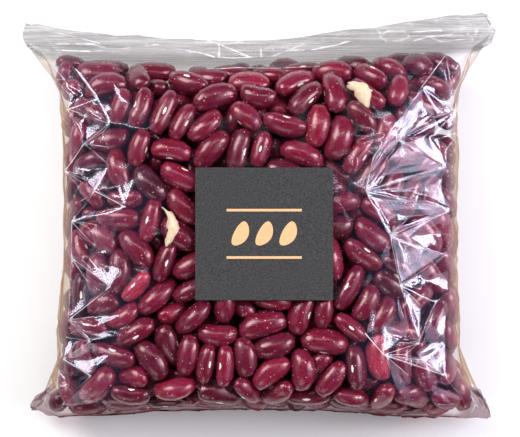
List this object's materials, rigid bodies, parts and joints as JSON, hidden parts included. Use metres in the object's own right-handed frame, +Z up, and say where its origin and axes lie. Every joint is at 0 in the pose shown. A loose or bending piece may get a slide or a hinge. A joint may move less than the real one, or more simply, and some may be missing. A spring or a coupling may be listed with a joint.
{
  "type": "bag of dried beans",
  "caption": "Sealed clear film pillow bag of dried red kidney beans with a flat mouth strip and a square dark paper label, lying on its back.",
  "frame": {"origin": "on the surface the bag lies on, under the middle of its bounding box", "axes": "+Z up out of the labelled front, +Y towards the bag's mouth strip, +X along the strip to the right"},
  "size_m": [0.177, 0.151, 0.0437],
  "materials": {
    "filled_film": "dark red beans under glossy clear film",
    "label_paper": "matt charcoal printed paper",
    "clear_film": "glossy clear film",
    "bean_skin": "satin dark red bean skin",
    "bean_flesh": "matt cream broken bean",
    "label_print": "matt peach ink"
  },
  "bodies": {
    "root": {"bag": "filled_film", "label": "label_paper"}
  },
  "joints": []
}
